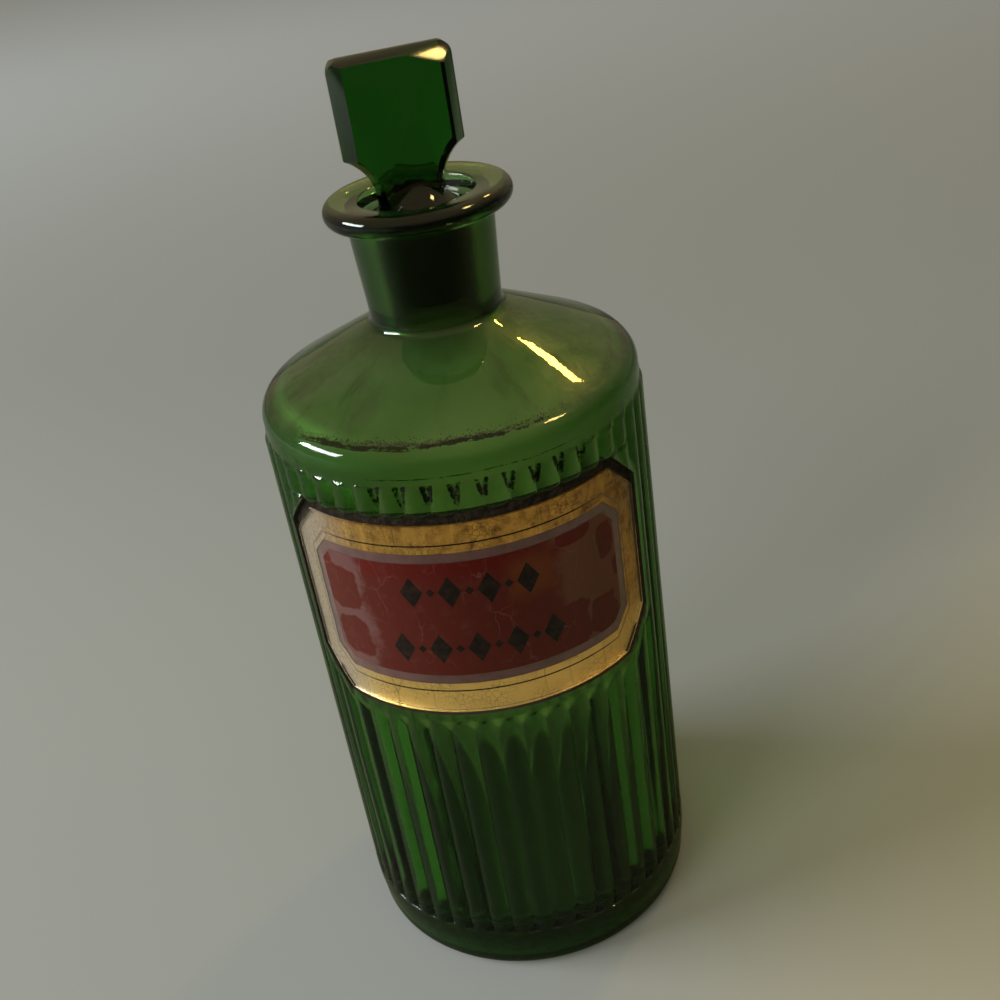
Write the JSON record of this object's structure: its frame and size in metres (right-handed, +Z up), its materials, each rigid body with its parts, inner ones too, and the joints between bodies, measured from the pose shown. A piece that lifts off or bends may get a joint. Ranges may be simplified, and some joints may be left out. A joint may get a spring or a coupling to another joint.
{
  "type": "apothecary bottle",
  "caption": "Round green glass apothecary bottle with vertical reeds, a recessed panel holding a gilt-edged glass label, a ring lip and a ground glass stopper with a flat head.",
  "frame": {"origin": "middle of the base, on the surface that the bottle stands on", "axes": "+Z up along the axis of the bottle; the middle of the label faces -Y"},
  "size_m": [0.084, 0.084, 0.2123],
  "materials": {
    "bottle_glass": "moulded green bottle glass, slightly wavy, glossy",
    "stopper_glass": "deep green glass, polished head, ground plug",
    "pitch": "dark brown pitch cement",
    "backing_paint": "aged grey backing paint",
    "gold_leaf": "worn and crackled gold leaf",
    "red_ground": "flaking red paint behind glass",
    "black_line": "black enamel line",
    "black_enamel": "black enamel figures",
    "plate_glass": "clear curved plate glass"
  },
  "bodies": {
    "bottle": {"bottle": "bottle_glass", "label_bed": "pitch", "label_backing": "backing_paint", "label_gilding": "gold_leaf", "label_red_ground": "red_ground", "label_pinstripe": "black_line", "label_ornament": "black_enamel", "label_glass": "plate_glass"},
    "stopper": {"stopper": "stopper_glass"}
  },
  "joints": [
    {"name": "stopper_lift", "type": "slide", "parent": "bottle", "child": "stopper", "axis": [0, 0, 1], "range_m": [0, 0.03]}
  ]
}
